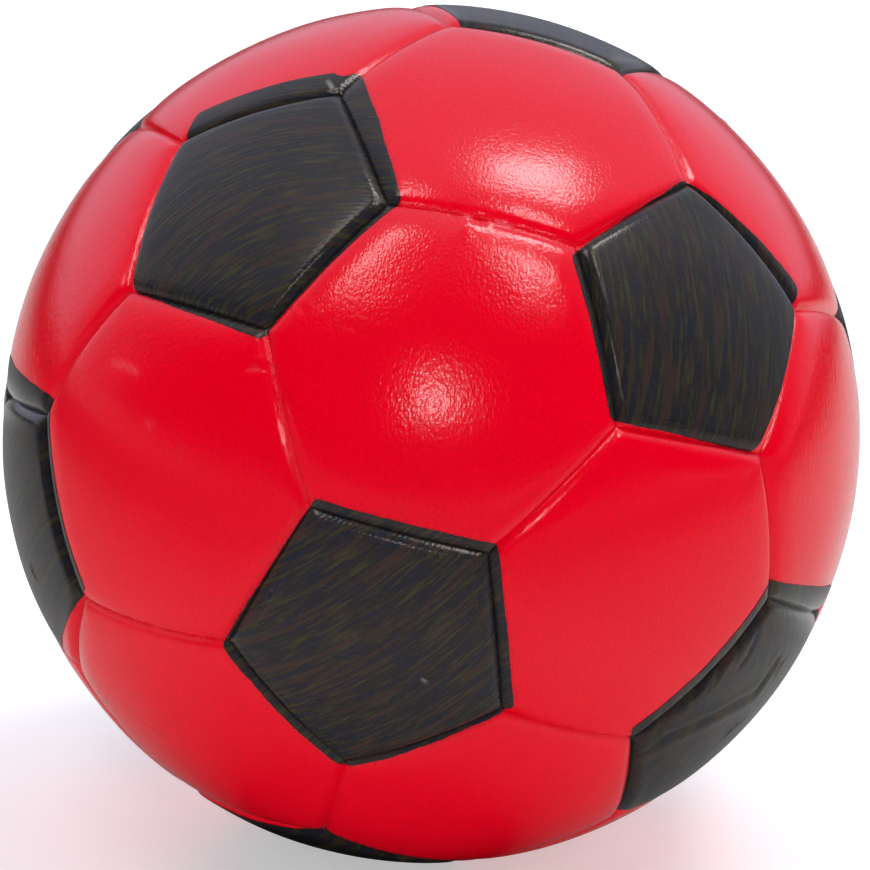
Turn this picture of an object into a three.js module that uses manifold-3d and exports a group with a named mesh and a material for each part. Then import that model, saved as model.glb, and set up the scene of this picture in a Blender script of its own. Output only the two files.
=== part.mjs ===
// Small moulded foam ball with the classic pattern of 12 pentagons and 20 hexagons.
// A soft foam core fills a dense red skin, whose outer face carries the moulded grooves.
// Twelve thin coats of black paint lie on the skin, each a little off the pentagon that it is meant for.
// Millimetres, +Z up. The origin is the middle of the ball.
import * as THREE from 'three';
import { mergeVertices } from 'three/addons/utils/BufferGeometryUtils.js';
import Module from 'manifold-3d';

// Moulded form
const ballDiameter = 63;        // over the panels
const pentagonSide = 12.96;     // straight distance between two corners of a moulded pentagon
const grooveDepth = 0.4;        // from the panels down to the crease
const grooveWidth = 3.4;        // from shoulder to shoulder
const shoulderRun = 0.6;        // the rounded part of each groove wall
const crownInset = 5.5;         // where the last ring of facets lies, from the seam

// Skin, core and the place where the foam was poured in
const skinWall = 1.2;           // dense skin, measured at the panels
const bondGap = 0.3;            // between the skin and the foam that it is grown onto
const pourDiameter = 5;         // trimmed stub of foam in the middle of one hexagon
const pourTrim = 0.25;          // the cut end lies this far below the top of its panel

// Black paint
const paintGap = 0.05;          // between the skin and the underside of the paint
const paintThickness = 0.1;
const maskReach = 6;            // how far the mask's cutting body runs above the surface

// How the ball lies: a corner where three panels meet points straight up
const frontPentagonTurn = -128.8;   // degrees from +X, seen from above, to the pentagon that faces front left

// Facets
const seamSteps = 3;            // along each side of a panel
const roundSteps = 7;           // subdivisions of the smooth inner spheres
const stubSides = 20;

const red = '#e0001b';
const black = '#2d302d';
const foam = '#c8102a';

// How far the paint runs past each side of its pentagon, in mm, and how far that edge is turned, in degrees.
// The sides go round from the corner that points at the pentagon's own mould pole.
const sprayed = {
  2: { past: [-1.1, 0.4, 0.4, 0.4, 0.4], turn: [-1, -1, 0, -1, -1] },
  5: { past: [2.4, 0.6, -1.5, -0.2, 2.6], turn: [-5, -5, -7, -6, -7] },
  6: { past: [-0.5, 0.3, -0.2, 1.1, 2.2], turn: [-3, -3, 0, -7, -2] },
  9: { past: [1.1, -0.7, -0.3, 0.6, 1.2], turn: [5, 5, 4, 4, 5] },
  10: { past: [0.4, 0.4, -0.2, 0.5, 0.2], turn: [0, 1, 2, 0, 4] },
  11: { past: [-0.5, 1.0, -0.3, 0.2, -0.2], turn: [-3, 5, 1, -2, 0] },
  12: { past: [2.6, 0.6, -0.3, 0.8, 2.7], turn: [1, 4, 1, 1, 1] },
};
// The mask over the other pentagons was spread and shifted by about this much, each in its own direction.
const maskSpread = 0.35;
const maskShift = 0.6;
const maskTurn = 137.5;         // degrees from one pentagon's shift to the next one's

const wasm = await Module();
wasm.setup();

const radius = ballDiameter / 2;
const degrees = Math.PI / 180;

// The twelve pentagon middles: a mould pole, five round it, five round the other pole, and that pole
function pentagonMiddles() {
  const ringHeight = Math.atan(0.5);
  const fifth = 2 * Math.PI / 5;
  const middles = [new THREE.Vector3(0, 0, 1)];
  for (const half of [1, -1]) {
    for (let k = 0; k < 5; k++) {
      const turn = fifth * (half > 0 ? k : k + 0.5);
      const flat = Math.cos(ringHeight);
      middles.push(new THREE.Vector3(flat * Math.cos(turn), flat * Math.sin(turn), half * Math.sin(ringHeight)));
    }
  }
  middles.push(new THREE.Vector3(0, 0, -1));
  return middles;
}

const middles = pentagonMiddles();
const neighbourAngle = middles[0].angleTo(middles[1]);
const cornerAngle = Math.asin(pentagonSide / 2 / radius / Math.sin(Math.PI / 5));

function areNeighbours(a, b) {
  return a !== b && Math.abs(middles[a].angleTo(middles[b]) - neighbourAngle) < 0.01;
}

// The point at an angle from one unit vector towards another
function towards(from, to, angle) {
  const side = to.clone().addScaledVector(from, -to.dot(from)).normalize();
  return from.clone().multiplyScalar(Math.cos(angle)).addScaledVector(side, Math.sin(angle));
}

// The corner of pentagon 2 that points at pentagon 6 goes to the top, and pentagon 6 is turned to the front left
function lieDown() {
  const up = new THREE.Vector3(0, 0, 1);
  const topCorner = towards(middles[1], middles[5], cornerAngle);
  const stand = new THREE.Quaternion().setFromUnitVectors(topCorner, up);
  const front = middles[5].clone().applyQuaternion(stand);
  const turn = frontPentagonTurn * degrees - Math.atan2(front.y, front.x);
  const spin = new THREE.Quaternion().setFromAxisAngle(up, turn);
  const lie = spin.multiply(stand);
  for (const middle of middles) middle.applyQuaternion(lie);
}
lieDown();

// A corner lies on the line between two neighbouring pentagons, so its key is the pair that it points from and to
const corners = new Map();
for (let from = 0; from < middles.length; from++) {
  for (let to = 0; to < middles.length; to++) {
    if (areNeighbours(from, to)) corners.set(`${from}-${to}`, towards(middles[from], middles[to], cornerAngle));
  }
}

// Corner keys in order round a panel, anticlockwise as seen from outside
function inOrder(keys, middle) {
  const first = corners.get(keys[0]);
  const x = first.clone().addScaledVector(middle, -first.dot(middle)).normalize();
  const y = new THREE.Vector3().crossVectors(middle, x);
  const angle = (key) => (Math.atan2(corners.get(key).dot(y), corners.get(key).dot(x)) + 2 * Math.PI) % (2 * Math.PI);
  return keys.slice().sort((a, b) => angle(a) - angle(b));
}

function listPanels() {
  const panels = [];
  for (let a = 0; a < middles.length; a++) {
    const own = [...corners.keys()].filter((key) => key.startsWith(`${a}-`));
    panels.push({ middle: middles[a], keys: inOrder(own, middles[a]) });
    for (let b = a + 1; b < middles.length; b++) {
      for (let c = b + 1; c < middles.length; c++) {
        if (!areNeighbours(a, b) || !areNeighbours(b, c) || !areNeighbours(a, c)) continue;
        const middle = middles[a].clone().add(middles[b]).add(middles[c]).normalize();
        const keys = [[a, b], [b, a], [b, c], [c, b], [c, a], [a, c]].map((pair) => pair.join('-'));
        panels.push({ middle, keys: inOrder(keys, middle), between: [a, b, c] });
      }
    }
  }
  return panels;
}
const panels = listPanels();

// Rings of facets round each panel: the crease, the top of the straight wall, the shoulder and the crown.
// The wall and the round of the shoulder meet without a kink.
const wallRun = grooveWidth / 2 - shoulderRun;
const shoulderDrop = grooveDepth * shoulderRun / (2 * wallRun + shoulderRun);
const rings = [
  { inset: 0, drop: grooveDepth },
  { inset: wallRun, drop: shoulderDrop },
  { inset: grooveWidth / 2, drop: 0 },
  { inset: crownInset, drop: 0 },
];

// The point inside a panel's corner that lies at the same angle from both of the sides that meet there
function insetCorner(before, corner, after, angle) {
  const sideA = new THREE.Vector3().crossVectors(before, corner).normalize();
  const sideB = new THREE.Vector3().crossVectors(corner, after).normalize();
  const between = sideA.clone().add(sideB);
  const share = Math.sin(angle) / (1 + sideA.dot(sideB));
  const across = between.multiplyScalar(share);
  const outward = Math.sqrt(1 - across.lengthSq());
  const ridge = new THREE.Vector3().crossVectors(sideA, sideB).normalize();
  if (ridge.dot(corner) < 0) ridge.negate();
  return across.addScaledVector(ridge, outward);
}

// The grooved outer face of the skin, moved outwards by lift, as one closed surface
function groovedFace(lift) {
  const points = [];
  const facets = [];
  const seamPoints = new Map();
  const add = (direction, drop) => {
    points.push(direction.clone().multiplyScalar(radius + lift - drop));
    return points.length - 1;
  };
  const cornerPoint = (key) => {
    if (!seamPoints.has(key)) seamPoints.set(key, add(corners.get(key), grooveDepth));
    return seamPoints.get(key);
  };
  // Points inside a seam are made once and shared by the two panels that meet there
  const seam = (from, to) => {
    const forward = from < to;
    const name = forward ? `${from}>${to}` : `${to}>${from}`;
    if (!seamPoints.has(name)) {
      const start = corners.get(forward ? from : to);
      const end = corners.get(forward ? to : from);
      const made = [];
      for (let s = 1; s < seamSteps; s++) {
        made.push(add(towards(start, end, start.angleTo(end) * s / seamSteps), grooveDepth));
      }
      seamPoints.set(name, made);
    }
    const made = seamPoints.get(name);
    return forward ? made : made.slice().reverse();
  };

  for (const { middle, keys } of panels) {
    const count = keys.length;
    let outer = keys.flatMap((key, k) => [cornerPoint(key), ...seam(key, keys[(k + 1) % count])]);
    for (const ring of rings.slice(1)) {
      const at = keys.map((key, k) => insetCorner(
        corners.get(keys[(k + count - 1) % count]),
        corners.get(key),
        corners.get(keys[(k + 1) % count]),
        ring.inset / radius,
      ));
      const inner = at.flatMap((start, k) => {
        const end = at[(k + 1) % count];
        const made = [];
        for (let s = 0; s < seamSteps; s++) {
          made.push(add(towards(start, end, start.angleTo(end) * s / seamSteps), ring.drop));
        }
        return made;
      });
      for (let k = 0; k < outer.length; k++) {
        const next = (k + 1) % outer.length;
        facets.push(outer[k], outer[next], inner[next], outer[k], inner[next], inner[k]);
      }
      outer = inner;
    }
    const top = add(middle, 0);
    for (let k = 0; k < outer.length; k++) facets.push(outer[k], outer[(k + 1) % outer.length], top);
  }
  const geometry = new THREE.BufferGeometry();
  geometry.setAttribute('position', new THREE.Float32BufferAttribute(points.flatMap((p) => p.toArray()), 3));
  geometry.setIndex(facets);
  return geometry;
}

// Solids for joining and cutting
function solid(geometry) {
  const bare = geometry.clone();
  bare.deleteAttribute('normal');
  bare.deleteAttribute('uv');
  const merged = mergeVertices(bare, 1e-4);
  return new wasm.Manifold(new wasm.Mesh({
    numProp: 3,
    vertProperties: new Float32Array(merged.attributes.position.array),
    triVerts: new Uint32Array(merged.index.array),
  }));
}

function toGeometry(manifold) {
  const mesh = manifold.getMesh();
  const geometry = new THREE.BufferGeometry();
  geometry.setAttribute('position', new THREE.BufferAttribute(mesh.vertProperties, 3));
  geometry.setIndex(new THREE.BufferAttribute(mesh.triVerts, 1));
  const flat = geometry.toNonIndexed();
  flat.computeVertexNormals();
  return flat;
}

function sphere(size) {
  return solid(new THREE.IcosahedronGeometry(size, roundSteps));
}

// A round bar along a direction from the origin, between two distances
function bar(direction, barRadius, from, to) {
  const geometry = new THREE.CylinderGeometry(barRadius, barRadius, to - from, stubSides);
  geometry.rotateX(Math.PI / 2);
  geometry.translate(0, 0, (from + to) / 2);
  geometry.applyQuaternion(new THREE.Quaternion().setFromUnitVectors(new THREE.Vector3(0, 0, 1), direction));
  return solid(geometry);
}

const ball = new THREE.Group();

function addPiece(name, manifold, material) {
  const mesh = new THREE.Mesh(toGeometry(manifold), material);
  mesh.name = name;
  ball.add(mesh);
}

// The foam was poured in through the middle of the hexagon among pentagons 3, 4 and 8, low at the back
const pourPanel = panels.find(({ between }) => between && between.join() === '2,3,7');
const pourAxis = pourPanel.middle;
const hollowRadius = radius - skinWall;
const coreRadius = hollowRadius - bondGap;
const stubEnd = radius - pourTrim;

function makeSkin() {
  const hole = bar(pourAxis, pourDiameter / 2 + bondGap, coreRadius / 2, radius + maskReach);
  const material = new THREE.MeshStandardMaterial({ color: red, roughness: 0.38, metalness: 0 });
  addPiece('red_skin', solid(groovedFace(0)).subtract(sphere(hollowRadius)).subtract(hole), material);
}

function makeCore() {
  const stub = bar(pourAxis, pourDiameter / 2, coreRadius / 2, stubEnd);
  const material = new THREE.MeshStandardMaterial({ color: foam, roughness: 0.9, metalness: 0 });
  addPiece('foam_core', sphere(coreRadius).add(stub), material);
}

// What the mask left open over one pentagon, as a five-sided pyramid from the middle of the ball
function maskOpening(number, pentagon) {
  const middle = middles[pentagon];
  const ownPole = pentagon < 6 ? 0 : 11;
  const neighbour = pentagon === 0 ? 1 : 10;
  const aim = pentagon === ownPole ? middles[neighbour] : middles[ownPole];
  const x = aim.clone().addScaledVector(middle, -aim.dot(middle)).normalize();
  const y = new THREE.Vector3().crossVectors(middle, x);
  const sideDistance = radius * Math.tan(cornerAngle) * Math.cos(Math.PI / 5);
  const sides = [0, 1, 2, 3, 4].map((k) => {
    const square = (k + 0.5) * 2 * Math.PI / 5;
    const spray = sprayed[number];
    if (spray) return { angle: square + spray.turn[k] * degrees, distance: sideDistance + spray.past[k] };
    const past = maskSpread + maskShift * Math.cos(square - number * maskTurn * degrees);
    return { angle: square, distance: sideDistance + past };
  });
  // Each corner of the opening is where two neighbouring sides cross
  const outline = sides.map((a, k) => {
    const b = sides[(k + 1) % 5];
    const cross = Math.sin(b.angle - a.angle);
    return new THREE.Vector2(
      (a.distance * Math.sin(b.angle) - b.distance * Math.sin(a.angle)) / cross,
      (b.distance * Math.cos(a.angle) - a.distance * Math.cos(b.angle)) / cross,
    );
  });
  const far = (radius + maskReach) / radius;
  const rim = outline.map((p) => x.clone().multiplyScalar(p.x * far)
    .addScaledVector(y, p.y * far).addScaledVector(middle, radius * far));
  const geometry = new THREE.BufferGeometry().setFromPoints([new THREE.Vector3(), ...rim]);
  geometry.setIndex([0, 2, 1, 0, 3, 2, 0, 4, 3, 0, 5, 4, 0, 1, 5, 1, 2, 3, 1, 3, 4, 1, 4, 5]);
  return solid(geometry);
}

function makePaint() {
  const material = new THREE.MeshStandardMaterial({ color: black, roughness: 0.45, metalness: 0 });
  const top = solid(groovedFace(paintGap + paintThickness));
  const underside = solid(groovedFace(paintGap));
  for (let pentagon = 0; pentagon < middles.length; pentagon++) {
    const number = pentagon + 1;
    const coat = maskOpening(number, pentagon).intersect(top).subtract(underside);
    addPiece(`black_pentagon_${String(number).padStart(2, '0')}`, coat, material.clone());
  }
}

makeCore();
makeSkin();
makePaint();

export default ball;
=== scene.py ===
# A small moulded foam ball: a glossy red skin with moulded grooves, twelve coats of sprayed black paint and,
# at the back, the cut end of the foam that fills it. Metres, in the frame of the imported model.
import math

import bmesh
import bpy
import numpy as np
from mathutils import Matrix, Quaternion, Vector


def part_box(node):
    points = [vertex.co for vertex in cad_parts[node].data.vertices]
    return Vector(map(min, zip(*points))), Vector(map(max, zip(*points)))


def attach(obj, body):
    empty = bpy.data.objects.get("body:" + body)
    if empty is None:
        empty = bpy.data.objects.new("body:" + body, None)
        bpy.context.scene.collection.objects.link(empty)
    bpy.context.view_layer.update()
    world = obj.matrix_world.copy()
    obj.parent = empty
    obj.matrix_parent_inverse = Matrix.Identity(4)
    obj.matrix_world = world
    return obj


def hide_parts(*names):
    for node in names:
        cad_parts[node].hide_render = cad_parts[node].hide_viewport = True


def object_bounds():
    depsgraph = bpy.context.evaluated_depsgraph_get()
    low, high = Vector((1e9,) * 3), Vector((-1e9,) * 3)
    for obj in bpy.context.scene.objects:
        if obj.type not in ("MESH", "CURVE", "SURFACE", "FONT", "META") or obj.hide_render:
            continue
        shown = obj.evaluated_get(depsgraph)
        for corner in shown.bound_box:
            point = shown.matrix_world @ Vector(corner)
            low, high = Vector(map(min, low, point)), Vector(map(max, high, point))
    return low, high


MM = 0.001

# The ball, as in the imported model, in mm
BALL_RADIUS = 31.5
PENTAGON_SIDE = 12.96
GROOVE_DEPTH = 0.4
SKIN_WALL = 1.2
BOND_GAP = 0.3
POUR_RADIUS = 2.5
POUR_TRIM = 0.25
# Which way the first pentagon beside the top corner lies, seen from above: the angle from +X
FRONT_PENTAGON_TURN = math.radians(-128.8)

# The camera, which looks along +Y and down on the ball: lengths in mm, but for the nearest and the farthest
# that it sees, in metres
CAMERA_DISTANCE = 526.6
CAMERA_ELEVATION = math.radians(19.05)
CAMERA_ROLL = math.radians(2.34)
CAMERA_LENS = 296.1
CAMERA_AIM_RIGHT = 0.26
CAMERA_AIM_UP = -0.07
CAMERA_NEAREST, CAMERA_FARTHEST = 0.01, 20

# How far the paint runs past each side of its pentagon, in mm, and how far that edge is turned, in degrees.
# The sides go round from the corner that points at the pentagon's own mould pole.
SPRAYED = {
    2: ((-1.1, 0.4, 0.4, 0.4, 0.4), (-1, -1, 0, -1, -1)),
    5: ((2.4, 0.6, -1.5, -0.2, 2.6), (-5, -5, -7, -6, -7)),
    6: ((-0.5, 0.3, -0.2, 1.1, 2.2), (-3, -3, 0, -7, -2)),
    9: ((1.1, -0.7, -0.3, 0.6, 1.2), (5, 5, 4, 4, 5)),
    10: ((0.4, 0.4, -0.2, 0.75, 0.5), (0, 1, 2, 0, 4)),
    11: ((-0.5, 1.25, -0.3, 0.2, -0.45), (-3, 5, 1, -2, 0)),
    12: ((2.6, 0.6, -0.3, 0.8, 2.7), (1, 4, 1, 1, 1)),
}
# The pentagons that the photograph doesn't show are sprayed this far past their sides, and off by this much
MASK_SPREAD = 0.35
MASK_SHIFT = 0.6
MASK_TURN = math.radians(137.5)
CORNER_SHARPNESS = 6

# The mesh of a coat, in mm: how far it lies off the skin, how thick it is, and how far outside the mask's
# edge the skin's copy is cut off before it is trimmed. A point this near the edge counts as on it.
PAINT_LIFT = 0.012
PAINT_THICKNESS = 0.03
PAINT_MARGIN = 0.8
ON_EDGE = 0.003

# Places on the ball are given as the camera sees them: mm right of the ball's middle and above it, measured
# at the middle's distance

# A notch where the spray didn't reach into the seam above a pentagon: its number, the place and the radius
NOTCH = (6, (-6.4, 26.8), 0.75)

# Where seams meet on the real ball, whose mould isn't quite regular, as read off the photograph
SEAM_CORNERS = (
    (-3.2, 16.9), (10.7, 13.8), (13.7, 0.5), (4.2, -8.8), (-8.9, -5.4),
    (-12.1, 7.7), (-22.2, 10.6), (-18.4, 21.4), (-6.7, 25.0), (18.9, 18.4),
    (26.8, 9.1), (24.3, -1.5), (-14.9, -15.2), (-6.3, -24.1), (5.2, -20.2),
    (14.8, -22.4), (24.8, -12.1), (-25.6, -12.0), (-28.3, 1.4),
)

# Marks of the mould's cutter: they run in arcs about a place, step by so many mm, and are so strong
TOOL_MARKS = {
    6: ((-2.4, -9.4), 0.3, 0.6),
    11: ((-52.0, 3.0), 0.36, 0.3),
    10: ((-45.0, 52.0), 0.34, 0.6),
    12: ((-60.0, 36.0), 0.38, 0.6),
    5: ((-100.0, 14.0), 0.36, 0.3),
    2: ((8.0, -80.0), 0.36, 0.3),
}
USUAL_MARKS = ((60.0, 70.0), 0.36, 0.5)

# How thin the paint lies, 0 to 1, on the pentagons where it differs from the rest. The lighter thin tone is
# partly painted light: the lowest pentagons are lightened for the light that the floor throws up on them.
THIN_AND_FLOOR_LIT_PAINT = {5: 0.0, 6: 0.4, 11: 0.25, 10: 0.8, 12: 0.4}
USUAL_THINNESS = 0.1

# Folds and creases of the skin: how wide and how deep, and the places they run through
CREASES = (
    (0.38, 0.24, (
        (25.4, -16.6), (23.9, -19.0), (22.4, -19.9), (20.7, -20.8),
        (18.9, -21.6), (17.2, -22.4), (15.9, -23.3),
    )),
    (0.22, 0.14, ((21.5, -22.3), (22.2, -21.5), (23.0, -20.9))),
    (0.20, 0.10, ((24.0, -14.6), (23.3, -16.2), (22.5, -17.3))),
    (0.20, 0.09, ((22.4, -15.8), (21.3, -17.6), (20.3, -18.9))),
    (0.20, 0.08, ((20.7, -17.6), (19.4, -19.3), (18.2, -20.5))),
    (0.22, 0.10, ((25.2, -17.9), (25.5, -17.1), (26.1, -16.4))),
    (0.16, 0.12, ((-29.5, -9.6), (-29.0, -10.7))),
    (0.22, 0.12, ((-13.8, 4.8), (-13.1, 4.9), (-12.4, 4.9))),
    (0.14, 0.08, ((-7.8, 26.0), (-7.2, 25.5))),
    (0.16, 0.05, ((-21.7, -20.8), (-20.6, -21.5), (-19.3, -22.4))),
    (0.14, 0.07, ((-12.1, -11.4), (-11.6, -11.9))),
    (0.08, 0.06, ((-0.6, -18.0), (-0.2, -18.6))),
    (0.20, 0.07, ((-9.8, 9.6), (-9.4, 9.0))),
)
# The swelling beside a crease: its height as a share of the depth, then its place and width in crease widths
SWELLING_HEIGHT, SWELLING_PLACE, SWELLING_WIDTH = 0.35, 2.2, 1.2
# A crease fades at its ends: where on the half wave it starts, how much of it it takes, and how blunt it is
TAPER_START, TAPER_RUN, TAPER_POWER = 0.06, 0.88, 0.5

# Crumbs of torn foam where the halves of the mould met, dents and swellings: radius, height and place
LUMPS = (
    (0.20, 0.22, (2.7, 16.05)),
    (0.18, 0.18, (4.4, 15.65)),
    (0.09, 0.10, (2.0, 16.15)),
    (0.10, 0.10, (5.0, 15.75)),
    (0.10, 0.12, (5.5, 15.65)),
    (0.08, 0.09, (6.0, 15.45)),
    (0.80, 0.12, (2.6, 15.35)),
    (0.35, -0.16, (3.5, 15.95)),
    (0.14, -0.10, (-5.9, 7.9)),
    (0.12, -0.10, (30.4, 4.3)),
    (0.45, -0.10, (-23.3, -21.0)),
    (0.45, -0.08, (-21.7, -23.1)),
    (0.40, 0.07, (19.9, 24.4)),
    (0.35, 0.06, (21.7, 23.1)),
    (0.12, 0.06, (6.8, 24.2)),
    (0.12, 0.06, (-20.1, -5.6)),
    (0.12, 0.06, (21.9, -10.4)),
    (0.12, 0.06, (-18.3, 25.0)),
    (0.10, -0.06, (-5.3, -29.6)),
)
# Pale places, rubs and scratches and painted glints: how wide, how pale, and the places they run through
RUBS_AND_GLINTS = (
    (0.24, 0.15, ((-23.4, 5.2), (-22.6, 5.1), (-21.7, 4.6))),
    (0.16, 0.12, ((-21.0, 0.7), (-20.5, 0.6))),
    # A nick at the top corner of the upper-left pentagon, whose paleness is a painted glint
    (0.07, 0.5, ((-7.7, 26.0), (-7.4, 25.7), (-7.1, 25.5))),
    (0.14, 0.45, ((2.55, 16.1), (2.9, 16.0))),
    (0.12, 0.40, ((4.3, 15.7), (4.6, 15.6))),
    (0.10, 0.30, ((4.9, 15.8), (6.0, 15.45))),
    (0.05, 0.3, ((-0.6, -18.0), (-0.2, -18.6))),
    # A painted highlight: the glint along the groove's wall left of the upper-left pentagon
    (0.07, 0.45, ((-19.2, 20.8), (-21.3, 15.7), (-22.9, 11.0))),
)

# The sides of a groove are mixed from straight slopes and a curve. A slope has its share of the depth, its
# width in mm and how round its shoulder is, and the curve has its share and its width. From its crease a
# pentagon rises steeply to a round shoulder, a hexagon more softly.
PENTAGON_SIDES = ((0.7, 0.6, 0.12), (0.18, 0.95, 0.3)), (0.12, 2.2)
HEXAGON_SIDES = ((0.5, 0.6, 0.2),), (0.5, 2.5)
CURVE_POWER = 1.8
# How tightly these shoulders run round a corner where seams meet
PENTAGON_TIGHTNESS, HEXAGON_TIGHTNESS = 3.0, 7.0
# Round the pentagons the grooves are deeper, and a fine crease runs at the bottom of all: depth and reach, mm
PENTAGON_DEEPER, PENTAGON_DEEPER_REACH = 0.14, 1.8
CREASE_DEPTH, CREASE_REACH = 0.06, 0.13
# The parting line of the mould: a rough bead of flash, and a step where its halves were a little off
FLASH_HEIGHT, FLASH_USUAL, FLASH_MOST, FLASH_REACH = 0.05, 0.6, 1.6, 0.27
STEP_HEIGHT, STEP_REACH, ON_SEAM = 0.012, 0.5, 0.01

# What a soft casting is never exact in: how strong, how far apart the waves are in mm, and their seed.
# Grooves vary by a share of their width and depth, and panels in mm, from this far off the seams.
UNEVEN_WIDTH = (0.07, 9, 3)
UNEVEN_DEPTH = (0.08, 11, 4)
UNEVEN_PANELS = (0.02, 9, 5)
PANEL_EDGE = 2
UNEVEN_FLASH = ((0.4, 0.9, 8), (0.4, 6, 9))
UNEVEN_MASK = ((0.035, 3.5, 20), (0.015, 0.9, 40))
# Each is a sum of so many waves, whose lengths vary between these shares of the usual one
WAVES = 18
SHORTEST_WAVE, LONGEST_WAVE = 0.7, 1.5

# The skin's mesh starts even, and is drawn closer within so many mm of the seams, where the form is finest
SUBDIVISIONS = 6
DRAWN_REACH, DRAWN_SHARE, DRAWN_POWER = 3.2, 0.35, 0.8
DRAWN_SHARPNESS = 8.0
# Stored distances end here, in mm, since nothing reads them further out
FAR = 5.0
# The cosine of the angle round a pentagon's middle that holds all of its paint
BY_PENTAGON = 0.7
SMOOTH_ANGLE = math.radians(24)

# The mesh of the foam, and how far the cutter that hollows the skin sticks out of it, in mm
CORE_SEGMENTS, CORE_RINGS = 64, 48
CUTTER_PROUD = 3
# The core's points up to this many rings from its top make the foot of its stub, which is level within so
# many mm
FOOT_RINGS = 1.2
FOOT_LEVEL = 0.001


def unit(vectors):
    return vectors / np.linalg.norm(vectors, axis=-1, keepdims=True)


def bell(distances, reach, power=2):
    """1 at no distance, falling to about a third at the reach."""
    return np.exp(-(distances / reach) ** power)


def points_of(piece):
    flat = np.empty(len(piece.data.vertices) * 3)
    piece.data.vertices.foreach_get("co", flat)
    return flat.reshape(-1, 3)


def set_points(piece, points):
    piece.data.vertices.foreach_set("co", np.ascontiguousarray(points, dtype=np.float32).ravel())
    piece.data.update()


def store(piece, name, values):
    attribute = piece.data.attributes.new(name, "FLOAT", "POINT")
    attribute.data.foreach_set("value", np.ascontiguousarray(values, dtype=np.float32))


def select_only(piece):
    bpy.ops.object.select_all(action="DESELECT")
    piece.select_set(True)
    bpy.context.view_layer.objects.active = piece


def apply_modifier(piece, kind, **settings):
    select_only(piece)
    modifier = piece.modifiers.new(kind.lower(), kind)
    for name, value in settings.items():
        setattr(modifier, name, value)
    bpy.ops.object.modifier_apply(modifier=modifier.name)


def smooth(piece):
    select_only(piece)
    bpy.ops.object.shade_smooth_by_angle(angle=SMOOTH_ANGLE)


# The camera comes first, because places on the ball are given as it sees them
def add_camera():
    """Adds the camera, and gives the ways to its right, up and back from the ball."""
    data = bpy.data.cameras.new("photo_camera")
    data.lens = CAMERA_LENS
    data.clip_start = CAMERA_NEAREST
    data.clip_end = CAMERA_FARTHEST
    camera = bpy.data.objects.new("photo_camera", data)
    bpy.context.scene.collection.objects.link(camera)
    bpy.context.scene.camera = camera
    back = Vector((0, -math.cos(CAMERA_ELEVATION), math.sin(CAMERA_ELEVATION)))
    look = (-back).to_track_quat("-Z", "Y") @ Quaternion((0, 0, 1), CAMERA_ROLL)
    right = look @ Vector((1, 0, 0))
    up = look @ Vector((0, 1, 0))
    camera.rotation_mode = "QUATERNION"
    camera.rotation_quaternion = look
    aim = right * CAMERA_AIM_RIGHT + up * CAMERA_AIM_UP
    camera.location = (back * CAMERA_DISTANCE + aim) * MM
    return np.array(right), np.array(up), np.array(back)


def seen(right, up, radius=BALL_RADIUS):
    """The direction from the ball's middle to the point at this radius that the camera sees at this place."""
    slant = right ** 2 + up ** 2 + CAMERA_DISTANCE ** 2
    reach = CAMERA_DISTANCE ** 2 / slant
    share = reach - math.sqrt(max(0.0, reach ** 2 - (CAMERA_DISTANCE ** 2 - radius ** 2) / slant))
    depth = CAMERA_DISTANCE * (1 - share)
    return unit(CAMERA_RIGHT * right * share + CAMERA_UP * up * share + CAMERA_BACK * depth)


def across_view(directions):
    """Where the camera sees each direction's point of the ball: mm right of the middle and above it."""
    points = directions * BALL_RADIUS
    nearer = CAMERA_DISTANCE / (CAMERA_DISTANCE - points @ CAMERA_BACK)
    return points @ CAMERA_RIGHT * nearer, points @ CAMERA_UP * nearer


# The moulded pattern
def corner_angle():
    """From a pentagon's middle to its corner, as seen from the ball's middle."""
    return math.asin(PENTAGON_SIDE / 2 / BALL_RADIUS / math.sin(math.pi / 5))


def towards(start, end, angle):
    """The direction at this angle from the start, on the way to the end."""
    side = (end - start * start.dot(end)).normalized()
    return start * math.cos(angle) + side * math.sin(angle)


def panel_blank():
    """A solid of 12 pentagons and 20 hexagons, cut from an icosahedron's corners, lying as the ball does."""
    bpy.ops.mesh.primitive_ico_sphere_add(subdivisions=1, radius=BALL_RADIUS * MM)
    blank = bpy.context.object
    blank.name = "moulded_skin"
    first = blank.data.edges[0].vertices
    top = blank.data.vertices[first[0]].co.normalized()
    front = blank.data.vertices[first[1]].co.normalized()
    between = top.angle(front)
    angle = corner_angle()
    share = math.sin(angle) / (math.sin(angle) + math.sin(between - angle))

    bpy.ops.object.mode_set(mode="EDIT")
    bpy.ops.mesh.select_all(action="SELECT")
    bpy.ops.mesh.bevel(offset_type="PERCENT", offset_pct=100 * share, affect="VERTICES", segments=1)
    bpy.ops.object.mode_set(mode="OBJECT")

    stand = towards(top, front, angle).rotation_difference(Vector((0, 0, 1)))
    front_now = stand @ front
    turn = FRONT_PENTAGON_TURN - math.atan2(front_now.y, front_now.x)
    lie = Quaternion((0, 0, 1), turn) @ stand
    blank.data.transform(lie.to_matrix().to_4x4())
    return blank


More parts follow.
